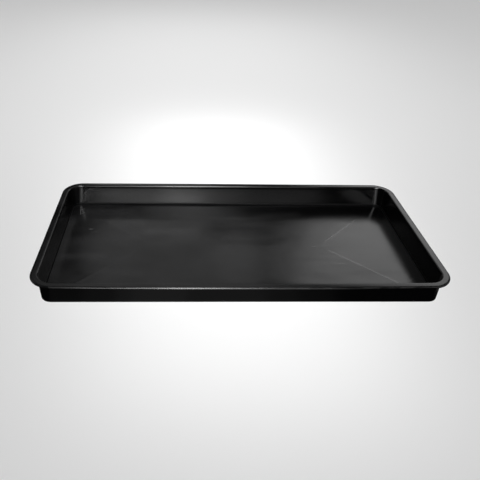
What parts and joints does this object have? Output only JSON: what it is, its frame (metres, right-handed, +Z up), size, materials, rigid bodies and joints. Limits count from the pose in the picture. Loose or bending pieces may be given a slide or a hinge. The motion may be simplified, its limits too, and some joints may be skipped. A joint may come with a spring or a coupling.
{
  "type": "oil drain pan",
  "caption": "Shallow one-piece rectangular black plastic tray for catching oil drips, with steep walls, a flat rim with a turned-down lip, and a floor with diagonal creases.",
  "frame": {"origin": "centre of the footprint, on the surface that the tray stands on", "axes": "+X along the length, +Y across the width away from the viewer, +Z up out of the open side"},
  "size_m": [0.79, 0.4, 0.05],
  "materials": {
    "black_plastic": "satin, smooth sheet plastic with soft reflections"
  },
  "bodies": {
    "root": {"drip_tray": "black_plastic"}
  },
  "joints": []
}
